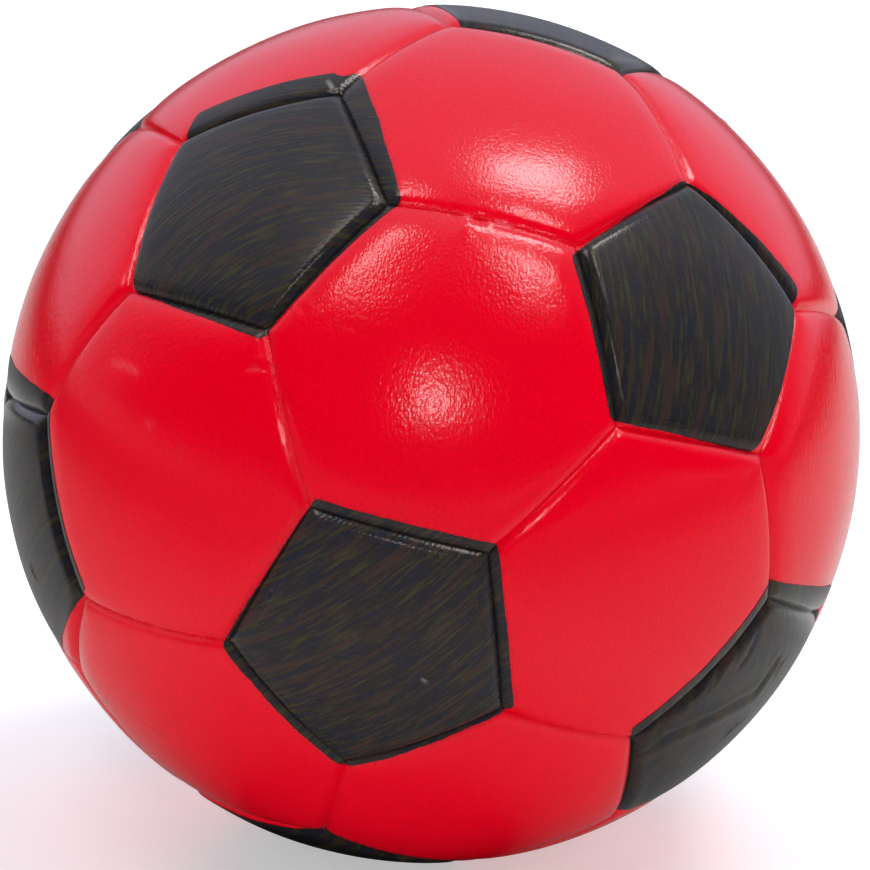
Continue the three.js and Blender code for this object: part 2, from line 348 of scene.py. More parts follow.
class Pattern:
    """The seams and pentagons of the ball, as unit vectors."""

    def __init__(self, blank):
        form = bmesh.new()
        form.from_mesh(blank.data)
        numbered = {}
        for number in range(1, 13):
            low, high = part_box(f"black_pentagon_{number:02d}")
            numbered[number] = (low + high).normalized()
        middles = [f.calc_center_median().normalized() for f in form.faces if len(f.verts) == 5]
        self.pentagons = {n: np.array(max(middles, key=d.dot)) for n, d in numbered.items()}
        for place in SEAM_CORNERS:
            true_place = Vector(seen(*place, radius=BALL_RADIUS - GROOVE_DEPTH))
            corner = max(form.verts, key=lambda v: v.co.normalized().dot(true_place))
            corner.co = true_place * corner.co.length
        form.to_mesh(blank.data)
        self.pole = self.pentagons[1]
        starts, ends, parting, beside = [], [], [], []
        for edge in form.edges:
            starts.append(edge.verts[0].co.normalized())
            ends.append(edge.verts[1].co.normalized())
            sides = [np.array(f.calc_center_median()) @ self.pole > 0 for f in edge.link_faces]
            parting.append(sides[0] != sides[1])
            # A direction on the pentagon's side of the seam, or nothing where hexagons meet
            fives = [f.calc_center_median().normalized() for f in edge.link_faces if len(f.verts) == 5]
            beside.append(fives[0] if fives else (0, 0, 0))
        form.free()
        self.starts = np.array(starts)
        self.ends = np.array(ends)
        self.normals = unit(np.cross(self.starts, self.ends))
        self.lengths = np.arccos(np.clip((self.starts * self.ends).sum(1), -1, 1))
        self.round_pentagons = np.linalg.norm(np.array(beside), axis=1) > 0
        self.pentagon_side = self.normals * np.sign((self.normals * np.array(beside)).sum(1))[:, None]
        # The parting line shows only in the seams between two hexagons
        self.parting = np.array(parting) & ~self.round_pentagons

    def distances(self, directions):
        """From each direction to each seam, along the surface, in mm."""
        ahead = np.cross(self.normals, self.starts)
        off = np.abs(np.arcsin(np.clip(directions @ self.normals.T, -1, 1)))
        cos_start = np.clip(directions @ self.starts.T, -1, 1)
        cos_end = np.clip(directions @ self.ends.T, -1, 1)
        along = np.arctan2(directions @ ahead.T, cos_start)
        to_end = np.arccos(np.maximum(cos_start, cos_end))
        beside = (along >= 0) & (along <= self.lengths)
        return BALL_RADIUS * np.where(beside, off, to_end)


def uneven(directions, strength, wavelength, seed):
    """A smooth random height over the ball, of about plus or minus the strength."""
    dice = np.random.default_rng(seed)
    heights = np.zeros(len(directions))
    for _ in range(WAVES):
        way = unit(dice.normal(size=3))
        pace = 2 * math.pi / (wavelength * dice.uniform(SHORTEST_WAVE, LONGEST_WAVE))
        heights += np.sin(directions @ way * BALL_RADIUS * pace + dice.uniform(0, 2 * math.pi))
    return strength * (heights / math.sqrt(WAVES))


def draw_to_seams(directions, pattern):
    """Moves the points of the even mesh towards the seams."""
    distances = pattern.distances(directions)
    nearest = distances.min(axis=1)
    shares = np.maximum(distances, 1e-3) ** -DRAWN_SHARPNESS
    shares /= shares.sum(axis=1, keepdims=True)
    drawn = nearest * (DRAWN_SHARE + (1 - DRAWN_SHARE) * (nearest / DRAWN_REACH) ** DRAWN_POWER)
    wanted = np.where(nearest < DRAWN_REACH, drawn, nearest)
    away = np.sign(directions @ pattern.normals.T) * shares
    return unit(directions - (away @ pattern.normals) * ((nearest - wanted) / BALL_RADIUS)[:, None])


def to_line(directions, places):
    """The distance in mm from each direction to the line through these places, and how far along, 0 to 1."""
    corners = np.array([seen(*place) for place in places]) * BALL_RADIUS
    points = directions * BALL_RADIUS
    best = np.full(len(directions), np.inf)
    along = np.zeros(len(directions))
    for k, (start, end) in enumerate(zip(corners[:-1], corners[1:])):
        run = end - start
        share = np.clip((points - start) @ run / (run @ run), 0, 1)
        distance = np.linalg.norm(points - start - share[:, None] * run, axis=1)
        closer = distance < best
        best[closer] = distance[closer]
        along[closer] = ((k + share) / (len(corners) - 1))[closer]
    return best, along


def to_place(directions, place):
    """The distance in mm from each direction to a place, along the surface."""
    return BALL_RADIUS * np.arccos(np.clip(directions @ seen(*place), -1, 1))


def in_pentagon(directions, distances, pattern):
    """Whether each direction lies on the pentagon's side of its nearest seam."""
    closest = distances.argmin(axis=1)
    return (directions * pattern.pentagon_side[closest]).sum(1) > 0


def round_corners(distances, tightness):
    """The distance to the nearest seam, which runs in a curve round the corners where seams meet."""
    return (np.maximum(distances, 1e-4) ** -tightness).sum(axis=1) ** (-1 / tightness)


def groove_side(distances, slopes, curve):
    """How deep one side of a groove lies at these distances from the seam, as a share of its full depth."""
    deep = 0
    for share, width, roundness in slopes:
        rise = 1 - distances / width
        deep = deep + share * ((rise + np.sqrt(rise ** 2 + roundness ** 2)) / 2)
    share, width = curve
    return deep + share * np.clip(1 - distances / width, 0, 1) ** CURVE_POWER


def rubbed_and_glinting(directions):
    """How pale each point is, 0 to 1, from rubs and from painted glints."""
    pale = np.zeros(len(directions))
    for width, strength, places in RUBS_AND_GLINTS:
        pale += strength * bell(to_line(directions, places)[0], width)
    return np.clip(pale, 0, 1)


def mould(skin, pattern):
    """Presses the grooves, folds and marks into the finely divided blank."""
    directions = draw_to_seams(unit(points_of(skin)), pattern)
    distances = pattern.distances(directions)
    nearest = distances.min(axis=1)
    to_pentagon_seam = distances[:, pattern.round_pentagons].min(axis=1)
    deep = GROOVE_DEPTH + PENTAGON_DEEPER * bell(to_pentagon_seam, PENTAGON_DEEPER_REACH)
    deep *= 1 + uneven(directions, *UNEVEN_DEPTH)
    on_hexagons = round_corners(distances, HEXAGON_TIGHTNESS) * (1 + uneven(directions, *UNEVEN_WIDTH))
    on_pentagons = round_corners(distances, PENTAGON_TIGHTNESS)
    pentagon_sides = groove_side(on_pentagons, *PENTAGON_SIDES)
    hexagon_sides = groove_side(on_hexagons, *HEXAGON_SIDES)
    five = in_pentagon(directions, distances, pattern)
    radii = BALL_RADIUS - deep * np.where(five, pentagon_sides, hexagon_sides)
    radii -= CREASE_DEPTH * bell(nearest, CREASE_REACH)
    radii += uneven(directions, *UNEVEN_PANELS) * np.clip(nearest / PANEL_EDGE, 0, 1)

    to_parting = distances[:, pattern.parting].min(axis=1)
    ragged = FLASH_USUAL
    for waves in UNEVEN_FLASH:
        ragged = ragged + uneven(directions, *waves)
    radii += FLASH_HEIGHT * np.clip(ragged, 0, FLASH_MOST) * bell(to_parting, FLASH_REACH, power=4)
    step = np.where(directions @ pattern.pole > 0, STEP_HEIGHT, -STEP_HEIGHT)
    radii += step * bell(to_parting, STEP_REACH) * (to_parting > ON_SEAM)

    for width, depth, places in CREASES:
        distance, along = to_line(directions, places)
        taper = np.clip(np.sin(np.pi * (TAPER_START + TAPER_RUN * along)), 0, 1) ** TAPER_POWER
        swelling = SWELLING_HEIGHT * bell(distance - SWELLING_PLACE * width, SWELLING_WIDTH * width)
        radii -= depth * taper * (bell(distance, width) - swelling)
    for radius, height, place in LUMPS:
        radii += height * bell(to_place(directions, place), radius)
    set_points(skin, directions * radii[:, None] * MM)

    store(skin, "seam_mm", np.minimum(nearest, FAR))
    store(skin, "parting_mm", np.minimum(to_parting, FAR))
    store(skin, "pale", rubbed_and_glinting(directions))
    store(skin, "to_paint_mm", np.min([past_mask(pattern, n, directions) for n in pattern.pentagons], axis=0))


def core_blank(name, pour_axis, sphere_radius, stub_radius, stub_end):
    """A sphere with a round stub that ends flat, along the pour axis."""
    bpy.ops.mesh.primitive_uv_sphere_add(
        segments=CORE_SEGMENTS, ring_count=CORE_RINGS, radius=sphere_radius * MM,
    )
    core = bpy.context.object
    core.name = name
    ring_height = math.sqrt(sphere_radius ** 2 - stub_radius ** 2)
    below_foot = math.cos(math.pi / CORE_RINGS * FOOT_RINGS) * sphere_radius * MM
    for vertex in core.data.vertices:
        if vertex.co.z > below_foot:
            flat = Vector((vertex.co.x, vertex.co.y, 0))
            vertex.co = (flat.normalized() * stub_radius if flat.length > 1e-6 else flat)
            vertex.co *= MM
            vertex.co.z = ring_height * MM
    bpy.ops.object.mode_set(mode="EDIT")
    bpy.ops.mesh.select_all(action="DESELECT")
    form = bmesh.from_edit_mesh(core.data)
    for face in form.faces:
        face.select = all(v.co.z > (ring_height - FOOT_LEVEL) * MM for v in face.verts)
    bmesh.update_edit_mesh(core.data)
    bpy.ops.mesh.extrude_region_move(TRANSFORM_OT_translate={"value": (0, 0, (stub_end - ring_height) * MM)})
    bpy.ops.object.mode_set(mode="OBJECT")
    turn = Vector((0, 0, 1)).rotation_difference(Vector(pour_axis))
    core.data.transform(turn.to_matrix().to_4x4())
    return core


def hollow(skin, pour_axis):
    """Leaves a wall of dense skin round the space for the foam, open at the pour mark."""
    space = (BALL_RADIUS - SKIN_WALL, POUR_RADIUS + BOND_GAP, BALL_RADIUS + CUTTER_PROUD)
    cutter = core_blank("space_for_foam", pour_axis, *space)
    apply_modifier(skin, "BOOLEAN", object=cutter, operation="DIFFERENCE", solver="EXACT")
    bpy.data.objects.remove(cutter)


def past_mask(pattern, number, directions):
    """How far each direction lies outside the mask's opening over a pentagon, in mm, below 0 inside it."""
    middle = pattern.pentagons[number]
    # The first corner points at the mould's pole, 1 or 12, or on a pole at a neighbour
    aim = pattern.pentagons[{1: 2, 12: 11}.get(number, 1 if number <= 6 else 12)]
    x = unit(aim - middle * (aim @ middle))
    y = np.cross(middle, x)
    facing = directions @ middle
    by = facing > BY_PENTAGON
    flat = directions[by] / facing[by][:, None] * BALL_RADIUS
    side_distance = BALL_RADIUS * math.tan(corner_angle()) * math.cos(math.pi / 5)
    past = []
    for k in range(5):
        square = (k + 0.5) * 2 * math.pi / 5
        if number in SPRAYED:
            spread, turn = SPRAYED[number]
            angle = square + math.radians(turn[k])
            distance = side_distance + spread[k]
        else:
            angle = square
            distance = side_distance + MASK_SPREAD + MASK_SHIFT * math.cos(square - number * MASK_TURN)
        past.append(flat @ (math.cos(angle) * x + math.sin(angle) * y) - distance)
    past = np.array(past)
    # The opening's corners are a little round, and its edge isn't quite straight
    most = past.max(axis=0)
    outside = most + np.log(np.exp((past - most) * CORNER_SHARPNESS).sum(axis=0)) / CORNER_SHARPNESS
    outside += sum(
        uneven(directions[by], strength, wave, seed + number) for strength, wave, seed in UNEVEN_MASK
    )
    notched, place, radius = NOTCH
    if number == notched:
        outside = np.maximum(outside, radius - to_place(directions[by], place))
    everywhere = np.full(len(directions), FAR)
    everywhere[by] = np.minimum(outside, FAR)
    return everywhere


def trim(piece, outside):
    """Cuts the mesh along the line where the value at its points passes 0, and keeps the side below 0."""
    form = bmesh.new()
    form.from_mesh(piece.data)
    values = dict(zip(form.verts, np.where(np.abs(outside) < ON_EDGE, 0.0, outside)))
    crossed = [e for e in form.edges if values[e.verts[0]] * values[e.verts[1]] < 0]
    for edge in crossed:
        start, end = edge.verts
        share = values[start] / (values[start] - values[end])
        values[bmesh.utils.edge_split(edge, start, share)[1]] = 0.0
    for face in list(form.faces):
        here = [values[v] for v in face.verts]
        if min(here) < 0 < max(here):
            ends = [v for v in face.verts if values[v] == 0]
            if len(ends) == 2:
                bmesh.utils.face_split(face, ends[0], ends[1])
    gone = [f for f in form.faces if max(values[v] for v in f.verts) > 0]
    bmesh.ops.delete(form, geom=gone, context="FACES")
    form.to_mesh(piece.data)
    form.free()


def tool_marks(directions, middle, number):
    """Along and across the cutter's arcs, the first in mm and the second in steps of the cutter."""
    # The arcs are laid on the flat plane over the pentagon, so they also run on where the ball turns away
    right, up = across_view(directions / (directions @ middle)[:, None])
    (centre_right, centre_up), step, _ = TOOL_MARKS.get(number, USUAL_MARKS)
    away = np.hypot(right - centre_right, up - centre_up)
    angle = np.arctan2(up - centre_up, right - centre_right)
    turned = (angle - angle.mean() + math.pi) % (2 * math.pi) - math.pi
    return np.stack([turned * away.mean(), away / step], axis=1)


def spray(skin, pattern, number, material):
    """A coat of paint over one pentagon: a thin copy of the skin inside the mask's opening."""
    coat = skin.copy()
    coat.data = skin.data.copy()
    coat.name = f"sprayed_pentagon_{number:02d}"
    bpy.context.scene.collection.objects.link(coat)
    select_only(coat)
    outside = past_mask(pattern, number, unit(points_of(coat)))
    coat.data.polygons.foreach_set("select", np.zeros(len(coat.data.polygons), bool))
    coat.data.edges.foreach_set("select", np.zeros(len(coat.data.edges), bool))
    coat.data.vertices.foreach_set("select", outside > PAINT_MARGIN)
    bpy.context.tool_settings.mesh_select_mode = (True, False, False)
    bpy.ops.object.mode_set(mode="EDIT")
    bpy.ops.mesh.delete(type="VERT")
    bpy.ops.object.mode_set(mode="OBJECT")
    trim(coat, past_mask(pattern, number, unit(points_of(coat))))

    # The cut made new points, so what the paint needs to know of its place is stored anew
    points = points_of(coat)
    directions = unit(points)
    for name in ("seam_mm", "parting_mm", "pale", "to_paint_mm"):
        coat.data.attributes.remove(coat.data.attributes[name])
    store(coat, "seam_mm", np.minimum(pattern.distances(directions).min(axis=1), FAR))
    store(coat, "pale", rubbed_and_glinting(directions))
    store(coat, "marks", np.full(len(directions), TOOL_MARKS.get(number, USUAL_MARKS)[2]))
    store(coat, "thin_and_floor_lit", np.full(len(directions), THIN_AND_FLOOR_LIT_PAINT.get(number, USUAL_THINNESS)))
    corners = np.empty(len(coat.data.loops), int)
    coat.data.loops.foreach_get("vertex_index", corners)
    along_and_across = tool_marks(directions, pattern.pentagons[number], number)[corners]
    marks = coat.data.uv_layers.new(name="tool_marks")
    marks.data.foreach_set("uv", along_and_across.astype(np.float32).ravel())
    set_points(coat, points + directions * PAINT_LIFT * MM)
    apply_modifier(coat, "SOLIDIFY", thickness=PAINT_THICKNESS * MM, offset=1)
    coat.data.materials.clear()
    coat.data.materials.append(material)
    smooth(coat)
    return coat


# Finishes. In their values a size is how far apart a pattern's features are, and sizes, heights and reaches
# are in mm.

# The sockets of a Mix node that mixes colours
MIX_SHARE, MIX_FIRST, MIX_SECOND, MIX_RESULT = 0, 6, 7, 2


def add_node(tree, kind, inputs=(), output=0, **settings):
    """Adds a node with its settings and links, and gives the output that the next node reads. Inputs are in
    order, or by a socket's name or number, and each is a value or another node's output."""
    made = tree.nodes.new("ShaderNode" + kind)
    for name, value in settings.items():
        setattr(made, name, value)
    for name, value in inputs.items() if isinstance(inputs, dict) else enumerate(inputs):
        if isinstance(value, bpy.types.NodeSocket):
            tree.links.new(value, made.inputs[name])
        else:
            made.inputs[name].default_value = value
    return made.outputs[output] if made.outputs else made


def linear(hex_colour):
    """An sRGB hex colour as linear RGBA."""
    parts = [int(hex_colour[k:k + 2], 16) / 255 for k in (1, 3, 5)]
    return [p / 12.92 if p <= 0.04045 else ((p + 0.055) / 1.055) ** 2.4 for p in parts] + [1.0]


def new_tree(owner):
    owner.use_nodes = True
    owner.node_tree.nodes.clear()
    return owner.node_tree


def per_mm(size):
    """The scale of a texture in Object coordinates, in metres, whose features are this many mm apart."""
    return 1 / MM / size


def close_to(tree, distance_name, reach):
    """1 on the line that a stored distance is measured from, falling smoothly to 0 at its reach in mm."""
    distance = add_node(tree, "Attribute", output="Fac", attribute_name=distance_name)
    return add_node(tree, "MapRange", (distance, 0.0, reach, 1.0, 0.0), interpolation_type="SMOOTHSTEP")


def layered(tree, colour, layers):
    """Lays each colour over the last one, by its share."""
    for share, over in layers:
        mix = {MIX_SHARE: share, MIX_FIRST: colour, MIX_SECOND: over}
        colour = add_node(tree, "Mix", mix, output=MIX_RESULT, data_type="RGBA")
    return colour


POLYURETHANE_IOR = 1.5
# The grain and the speckles of the red coat are finer on the real ball, and are drawn this coarse to show
PEEL_SIZE, PEEL_HEIGHT = 0.9, 0.012
GRAIN_SIZE, GRAIN_HEIGHT, GRAIN_STRETCH = 0.19, 0.02, (1, 1, 0.4)
TORN_SIZE, TORN_HEIGHT, TORN_REACH = 0.25, 0.15, 0.42
CLOUD_SIZE = 7
SPECKLE_SIZE, SPECKLE_LOW, SPECKLE_HIGH, SPECKLE_STRENGTH = 0.18, 0.35, 0.65, 0.2
MIST_SIZE, MIST_LOW, MIST_HIGH, MIST_STRENGTH, MIST_REACH = 0.16, 0.5, 0.62, 0.35, 0.45
SKIN_ROUGHNESS, TORN_ROUGHNESS = 0.17, 0.26


def polyurethane_skin():
    """Integral-skin polyurethane foam with a red in-mould coat: satin to glossy, with fine orange peel."""
    material = bpy.data.materials.new("red polyurethane skin, moulded")
    tree = new_tree(material)
    place = add_node(tree, "TexCoord", output="Object")
    on_parting = close_to(tree, "parting_mm", TORN_REACH)

    # Orange peel, a grain that runs up and down the ball as the coat did in the mould, and torn foam on the
    # parting line
    peel = add_node(tree, "TexNoise", {"Vector": place, "Scale": per_mm(PEEL_SIZE), "Detail": 2.0})
    stretched = add_node(tree, "Mapping", {"Vector": place, "Scale": GRAIN_STRETCH})
    grain = add_node(tree, "TexNoise", {"Vector": stretched, "Scale": per_mm(GRAIN_SIZE), "Detail": 1.0})
    torn = add_node(tree, "TexNoise", {"Vector": place, "Scale": per_mm(TORN_SIZE), "Detail": 3.0})
    torn = add_node(tree, "Math", (torn, on_parting), operation="MULTIPLY")
    height = add_node(tree, "Math", (peel, PEEL_HEIGHT), operation="MULTIPLY")
    height = add_node(tree, "Math", (grain, GRAIN_HEIGHT, height), operation="MULTIPLY_ADD")
    height = add_node(tree, "Math", (torn, TORN_HEIGHT, height), operation="MULTIPLY_ADD")
    normal = add_node(tree, "Bump", {"Height": height, "Distance": MM, "Strength": 1.0})

    # The coat is a little uneven, pale at rubs and painted glints, and takes a mist of black round the masks
    cloud = add_node(tree, "TexNoise", {"Vector": place, "Scale": per_mm(CLOUD_SIZE), "Detail": 3.0})
    speckle = add_node(tree, "TexNoise", {"Vector": place, "Scale": per_mm(SPECKLE_SIZE), "Detail": 1.0})
    speckle = add_node(tree, "MapRange", (speckle, SPECKLE_LOW, SPECKLE_HIGH, 0.0, SPECKLE_STRENGTH))
    mist = add_node(tree, "TexNoise", {"Vector": place, "Scale": per_mm(MIST_SIZE), "Detail": 1.0})
    mist = add_node(tree, "MapRange", (mist, MIST_LOW, MIST_HIGH, 0.0, MIST_STRENGTH))
    mist = add_node(
        tree, "Math", (close_to(tree, "to_paint_mm", MIST_REACH), mist), operation="MULTIPLY",
    )
    pale = add_node(tree, "Attribute", output="Fac", attribute_name="pale")
    colour = layered(tree, linear("#e9001d"), (
        (cloud, linear("#f20023")),
        (speckle, linear("#b00018")),
        # Pale rubs, and painted highlights
        (pale, linear("#ff8f9c")),
        (mist, linear("#3a1016")),
    ))
    roughness = add_node(tree, "MapRange", (on_parting, 0.0, 1.0, SKIN_ROUGHNESS, TORN_ROUGHNESS))
    coat = add_node(tree, "BsdfPrincipled", {
        "Base Color": colour, "Roughness": roughness, "IOR": POLYURETHANE_IOR, "Normal": normal,
    })
    add_node(tree, "OutputMaterial", {"Surface": coat})
    return material


LACQUER_IOR = 1.5
# The groove holds more paint, which is glossier and has more specks in it
GROOVE_REACH = 2.2
PAINT_ROUGHNESS, GROOVE_ROUGHNESS = 0.38, 0.16
PAINT_SPECULAR = 0.42
PAINT_PEEL_SIZE, PAINT_PEEL_HEIGHT = 0.7, 0.012
# Specks of paint dust are finer on the real ball, and are drawn this coarse to show
DUST_SIZE, DUST_HEIGHT, GROOVE_DUST_HEIGHT = 0.16, 0.006, 0.016
DUST_COLOUR_SIZE, DUST_LOW, DUST_HIGH, DUST_STRENGTH = 0.13, 0.45, 0.75, 0.22
# The cutter's marks: their height, how they wander, and how long and wide a patch of strong ones is
MARK_HEIGHT = 0.0045
WANDER_SIZE, WANDER_TURNS = 2.5, 4.0
PATCH_ALONG, PATCH_ACROSS = 0.12, 0.45
PATCH_LOW, PATCH_HIGH, PATCH_WEAK, PATCH_STRONG = 0.3, 0.7, 0.3, 1.6
# Runs of thin and thick paint: features per mm along the marks, and per step of the cutter across them
RUN_ALONG, RUN_ACROSS = 0.3, 1.1
SECOND_RUN_OFFSET, SECOND_RUN_SCALE = (31, 17, 5), 0.7
OLIVE_FROM, OLIVE_TO = 0.5, 0.62
BLUE_FROM, BLUE_TO = 0.48, 0.36
BROWN_FROM, BROWN_TO = 0.52, 0.62
# Painted shade: the paint is darkened along the bottom of each groove, where shade falls in the crease
CREASE_SHADE_REACH, CREASE_SHADE_STRENGTH = 0.2, 0.65


def spray_paint():
    """Black flexible lacquer, sprayed over the skin: satin, and the mould's cutter marks show through."""
    material = bpy.data.materials.new("black flexible lacquer, sprayed")
    tree = new_tree(material)
    place = add_node(tree, "TexCoord", output="Object")
    marks = add_node(tree, "UVMap", uv_map="tool_marks")
    along = add_node(tree, "SeparateXYZ", (marks,), output="X")
    across = add_node(tree, "SeparateXYZ", (marks,), output="Y")
    in_groove = close_to(tree, "seam_mm", GROOVE_REACH)

    # The cutter's steps come and go, and wander a little
    wander = add_node(tree, "TexNoise", {"Vector": place, "Scale": per_mm(WANDER_SIZE), "Detail": 1.0})
    wander = add_node(tree, "Math", (wander, WANDER_TURNS), operation="MULTIPLY")
    turns = add_node(tree, "Math", (across, 2 * math.pi, wander), operation="MULTIPLY_ADD")
    wave = add_node(tree, "Math", (turns,), operation="SINE")
    strip = add_node(tree, "VectorMath", (marks, (PATCH_ALONG, PATCH_ACROSS, 0)), operation="MULTIPLY")
    patch = add_node(tree, "TexNoise", {"Vector": strip, "Scale": 1.0, "Detail": 2.0})
    patch = add_node(tree, "MapRange", (patch, PATCH_LOW, PATCH_HIGH, PATCH_WEAK, PATCH_STRONG))
    strength = add_node(tree, "Attribute", output="Fac", attribute_name="marks")
    strength = add_node(tree, "Math", (strength, MARK_HEIGHT), operation="MULTIPLY")
    ridges = add_node(tree, "Math", (wave, patch), operation="MULTIPLY")
    peel = add_node(tree, "TexNoise", {"Vector": place, "Scale": per_mm(PAINT_PEEL_SIZE), "Detail": 2.0})
    dust = add_node(tree, "TexNoise", {"Vector": place, "Scale": per_mm(DUST_SIZE), "Detail": 2.0})
    dust_height = add_node(tree, "MapRange", (in_groove, 0.0, 1.0, DUST_HEIGHT, GROOVE_DUST_HEIGHT))
    height = add_node(tree, "Math", (peel, PAINT_PEEL_HEIGHT), operation="MULTIPLY")
    height = add_node(tree, "Math", (ridges, strength, height), operation="MULTIPLY_ADD")
    height = add_node(tree, "Math", (dust, dust_height, height), operation="MULTIPLY_ADD")
    normal = add_node(tree, "Bump", {"Height": height, "Distance": MM, "Strength": 1.0})

    # Thin and thick runs of paint, olive, blue and brown, lie along the cutter's steps
    run = add_node(tree, "VectorMath", (marks, (RUN_ALONG, RUN_ACROSS, 0)), operation="MULTIPLY")
    second_run = add_node(tree, "VectorMath", (run, SECOND_RUN_OFFSET), operation="ADD")
    tint, second_tint = [
        add_node(tree, "TexNoise", {"Vector": vector, "Scale": scale, "Detail": 5.0, "Roughness": 0.6})
        for vector, scale in ((run, 1.0), (second_run, SECOND_RUN_SCALE))
    ]
    olive = add_node(tree, "MapRange", (tint, OLIVE_FROM, OLIVE_TO))
    blue = add_node(tree, "MapRange", (tint, BLUE_FROM, BLUE_TO))
    brown = add_node(tree, "MapRange", (second_tint, BROWN_FROM, BROWN_TO))
    # Each tone is a mix of how it looks where the paint lies thick and where it lies thin; the lighter thin
    # tone also stands in for the floor's light on the lower pentagons
    thin_and_floor_lit = add_node(tree, "Attribute", output="Fac", attribute_name="thin_and_floor_lit")
    black, blue_tone, olive_tone, brown_tone = [
        layered(tree, linear(thick_tone), ((thin_and_floor_lit, linear(thin_tone)),))
        for thick_tone, thin_tone in (
            ("#1a1817", "#29272b"), ("#191b26", "#25283c"), ("#302f1c", "#3f3d27"), ("#2d201e", "#44302a"),
        )
    ]
    speckle = add_node(
        tree, "TexNoise", {"Vector": place, "Scale": per_mm(DUST_COLOUR_SIZE), "Detail": 1.0},
    )
    speckle = add_node(tree, "MapRange", (speckle, DUST_LOW, DUST_HIGH, 0.0, DUST_STRENGTH))
    # Painted shade in the crease of each groove
    crease_shade = close_to(tree, "seam_mm", CREASE_SHADE_REACH)
    crease_shade = add_node(tree, "Math", (crease_shade, CREASE_SHADE_STRENGTH), operation="MULTIPLY")
    pale = add_node(tree, "Attribute", output="Fac", attribute_name="pale")
    colour = layered(tree, black, (
        (blue, blue_tone),
        (olive, olive_tone),
        (brown, brown_tone),
        (speckle, linear("#4a4a4c")),
        # Painted shade in the creases
        (crease_shade, linear("#0b0b0c")),
        # Pale scratches, and a painted glint on a nick
        (pale, linear("#b9b9b5")),
    ))
    roughness = add_node(tree, "MapRange", (in_groove, 0.0, 1.0, PAINT_ROUGHNESS, GROOVE_ROUGHNESS))
    paint = add_node(tree, "BsdfPrincipled", {
        "Base Color": colour, "Roughness": roughness, "IOR": LACQUER_IOR, "Normal": normal,
        "Specular IOR Level": PAINT_SPECULAR, "Specular Tint": linear("#fff3e7"),
    })
    add_node(tree, "OutputMaterial", {"Surface": paint})
    return material


CELL_SIZE, CELL_HEIGHT = 0.35, 0.1
FOAM_ROUGHNESS = 0.9


def cut_foam():
    """Soft open-celled polyurethane foam, coloured through and cut with a blade: matt, with small holes."""
    material = bpy.data.materials.new("red polyurethane foam, cut")
    tree = new_tree(material)
    place = add_node(tree, "TexCoord", output="Object")
    cells = add_node(tree, "TexVoronoi", {"Vector": place, "Scale": per_mm(CELL_SIZE)}, output="Distance")
    normal = add_node(tree, "Bump", {"Height": cells, "Distance": CELL_HEIGHT * MM})
    foam = add_node(tree, "BsdfPrincipled", {
        "Base Color": linear("#d63a50"), "Roughness": FOAM_ROUGHNESS, "Normal": normal,
    })
    add_node(tree, "OutputMaterial", {"Surface": foam})
    return material


# The studio. Its lengths are in metres.
FLOOR_SIZE, FLOOR_WHITE, FLOOR_ROUGHNESS = 6, 0.85, 0.9
# A little glow for the light that a white table throws back up, and more for what is seen
FLOOR_GLOW, FLOOR_SEEN_GLOW = 0.12, 0.4
WALL_DISTANCE = 4.0
WALL_SEGMENTS, WALL_RINGS = 48, 24
# The walls' light lies behind the ball and this far up, and fades by this power
WALL_GLOW_RISE, WALL_GLOW_POWER, WALL_GLOW = 1.37, 1.5, 0.68
WALL_COLOUR = (0.92, 0.97, 1.22, 1)
# A painted reflection of white paper, and a painted shadow of the ball on it: the middle of each, and how far
# out it ends and is full
CARD_SIZE, CARD_LIFT = 2.6, 0.0005
PAPER_MIDDLE, PAPER_END, PAPER_FULL, PAPER_GLOW = (0.04, 0.13, 0), 0.26, 0.08, 0.85
SHADOW_MIDDLE, SHADOW_FULL, SHADOW_END = (-0.004, -0.016, 0), 0.012, 0.045
WORLD_LIGHT, WORLD_SEEN = 0.8, 1.0

# Each lamp's way from the ball, as parts right, up and towards the camera, then its distance, width, height
# and power, and whether it shows in the gloss
LAMPS = (
    ("front_window", (0.02, 0.16, 0.98), 1.3, 0.09, 0.09, 0.95, True),
    ("front_fill", (0.0, -0.24, 0.97), 2.0, 3.0, 0.8, 19, False),
    ("top_fill", (0.2, 0.9, 0.4), 2.0, 1.5, 1.5, 4, False),
    ("left_fill", (-1.0, 0.0, 0.15), 2.0, 1.5, 1.0, 13.5, False),
    ("right_fill", (1.0, 0.0, 0.15), 2.0, 1.5, 1.0, 9, False),
    ("top_softbox", (0.36, 0.90, 0.22), 1.2, 0.25, 0.4, 3.7, True),
    ("tall_strip", (0.385, 0.69, 0.61), 1.2, 0.06, 0.34, 1.65, True),
    ("left_strip", (-0.25, 0.75, 0.61), 1.2, 0.12, 0.5, 1.9, True),
)


def seen_rays(tree):
    """1 for what the camera sees, also by reflection or through glass, and 0 for light."""
    rays = tree.nodes.new("ShaderNodeLightPath").outputs
    shown = add_node(tree, "Math", (rays["Is Camera Ray"], rays["Is Glossy Ray"]), operation="MAXIMUM")
    return add_node(tree, "Math", (shown, rays["Is Transmission Ray"]), operation="MAXIMUM")


def add_floor(low):
    bpy.ops.object.select_all(action="DESELECT")
    bpy.ops.mesh.primitive_plane_add(size=FLOOR_SIZE, location=(0, 0, low))
    floor = bpy.context.object
    floor.name = "floor"
    material = bpy.data.materials.new("pale floor")
    tree = new_tree(material)
    glow = add_node(tree, "MapRange", (seen_rays(tree), 0.0, 1.0, FLOOR_GLOW, FLOOR_SEEN_GLOW))
    surface = add_node(tree, "BsdfPrincipled", {
        "Base Color": (FLOOR_WHITE, FLOOR_WHITE, FLOOR_WHITE, 1), "Roughness": FLOOR_ROUGHNESS,
        "Specular IOR Level": 0, "Emission Color": (1, 1, 1, 1), "Emission Strength": glow,
    })
    add_node(tree, "OutputMaterial", {"Surface": surface})
    floor.data.materials.append(material)


